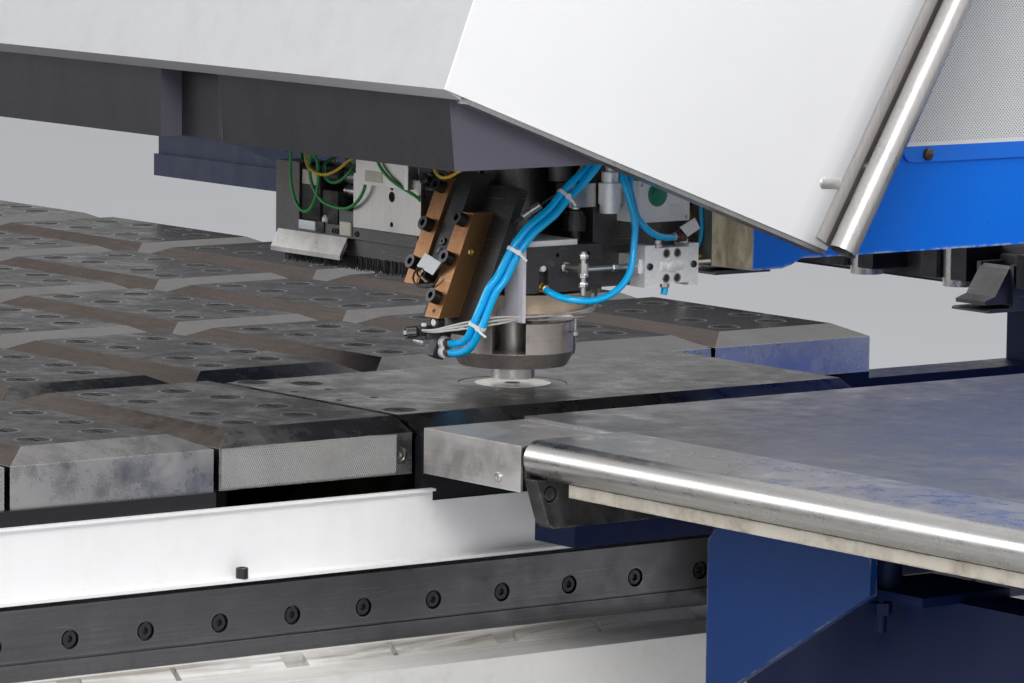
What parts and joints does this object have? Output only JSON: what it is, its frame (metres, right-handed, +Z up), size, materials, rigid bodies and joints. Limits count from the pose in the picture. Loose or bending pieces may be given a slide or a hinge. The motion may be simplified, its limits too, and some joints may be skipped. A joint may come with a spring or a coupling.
{
  "type": "cnc punch press",
  "caption": "Punching machine with a C-frame, a rotating punch head over a padded steel table, moving side tables, sheet clamps and a linear tool magazine.",
  "frame": {"origin": "on the floor under the punch axis, at the centre of the inner anchor holes", "axes": "+Z up, +Y into the throat of the C-frame, +X towards the right-hand side table"},
  "size_m": [5.441, 3.44, 1.8793],
  "materials": {
    "white_paint": "satin, lightly soiled",
    "bright_white_paint": "satin",
    "grille_paint": "satin, perforated look",
    "blue_paint": "gloss, chipped edges",
    "navy_paint": "satin, dusty",
    "charcoal_paint": "fine textured",
    "black_paint": "satin, dusty",
    "beige_paint": "satin, oil stained",
    "pad_steel": "brushed, scratched and oil stained",
    "insert_steel": "brushed, rubbed",
    "tool_steel": "ground",
    "stainless": "brushed, scratched",
    "dark_steel": "ground, oiled and stained",
    "table_steel": "smooth dark",
    "bronze": "worn, oiled",
    "tan_ring": "yellow-brown, oiled",
    "valve_metal": "fine blasted",
    "black_oxide": "black oxide",
    "feet_iron": "painted black",
    "bristle": "matt",
    "black_plastic": "matt",
    "hose_blue": "smooth",
    "wire_green": "smooth"
  },
  "bodies": {
    "bed": {"base_frame": "white_paint", "levelling_feet": "feet_iron", "bed_panel": "white_paint", "y_rails": "dark_steel", "c_frame": "blue_paint", "hood_shell": "white_paint", "hood_side_panel": "bright_white_paint", "hood_trim": "stainless", "guard_tube": "stainless", "skirt_left": "charcoal_paint", "skirt_centre": "charcoal_paint", "grille_panel": "grille_paint", "head_carrier": "dark_steel", "head_block": "charcoal_paint", "top_plate": "stainless", "corner_plate": "stainless", "ram_cylinder": "dark_steel", "bar_carrier": "dark_steel", "guide_bars": "bronze", "cap_screws": "black_oxide", "brush_unit": "dark_steel", "brush_plate": "stainless", "brush_bristles": "bristle", "sensor_plate": "stainless", "regulator_block": "stainless", "valve_block": "valve_metal", "valve_fittings": "stainless", "oil_filter": "valve_metal", "pressure_knob": "black_plastic", "sign_plate": "stainless", "hose_bundle": "hose_blue", "valve_hoses": "hose_blue", "control_wires": "wire_green", "front_pads": "pad_steel", "pad_inserts": "insert_steel", "centre_table": "pad_steel"},
    "flap": {"parts_flap": "pad_steel", "flap_inserts": "insert_steel"},
    "ring": {"rotation_ring": "tan_ring"},
    "stripper": {"stripper_cup": "tool_steel", "stripper_tube": "tool_steel"},
    "ram": {"ram_spindle": "tool_steel"},
    "punch": {"punch_tool": "tool_steel"},
    "die": {"die_holder": "dark_steel", "die_insert": "tool_steel"},
    "y_table": {"right_table": "table_steel", "edge_tube": "stainless", "edge_flange": "beige_paint", "ramp_plate": "stainless", "edge_bracket": "black_paint", "support_bracket": "blue_paint", "table_frames": "navy_paint", "left_pads": "pad_steel", "left_inserts": "insert_steel", "cross_rail": "navy_paint", "rail_carriages": "dark_steel"},
    "carriage": {"x_carriage": "stainless", "tool_cassettes": "black_oxide", "cassette_tools": "tool_steel"},
    "jaws": {"clamp_jaws": "tool_steel"}
  },
  "joints": [
    {"name": "y_travel", "type": "slide", "parent": "bed", "child": "y_table", "axis": [0, 1, 0], "range_m": [-0.94, 0.22]},
    {"name": "x_travel", "type": "slide", "parent": "y_table", "child": "carriage", "axis": [1, 0, 0], "range_m": [-1.27, 1.27]},
    {"name": "clamp_open", "type": "hinge", "parent": "carriage", "child": "jaws", "pos_m": [0, 1.14, 0.986], "axis": [1, 0, 0], "range_deg": [-30, 0]},
    {"name": "flap_tilt", "type": "hinge", "parent": "bed", "child": "flap", "pos_m": [0, -0.578, 0.874], "axis": [1, 0, 0], "range_deg": [-22, 0]},
    {"name": "ram_stroke", "type": "slide", "parent": "bed", "child": "ram", "axis": [0, 0, 1], "range_m": [-0.016, 0.006]},
    {"name": "stripper_stroke", "type": "slide", "parent": "bed", "child": "stripper", "axis": [0, 0, 1], "range_m": [-0.006, 0.006]},
    {"name": "tool_rotation", "type": "hinge", "parent": "bed", "child": "ring", "pos_m": [0, 0, 1.04], "axis": [0, 0, 1], "continuous": true},
    {"name": "punch_rotation", "type": "hinge", "parent": "ram", "child": "punch", "pos_m": [0, 0, 1], "axis": [0, 0, 1], "continuous": true},
    {"name": "die_rotation", "type": "hinge", "parent": "bed", "child": "die", "pos_m": [0, 0, 0.9], "axis": [0, 0, 1], "continuous": true}
  ],
  "couplings": [
    {"joint": "punch_rotation", "follows": "tool_rotation", "ratio": 1},
    {"joint": "die_rotation", "follows": "tool_rotation", "ratio": 1}
  ]
}
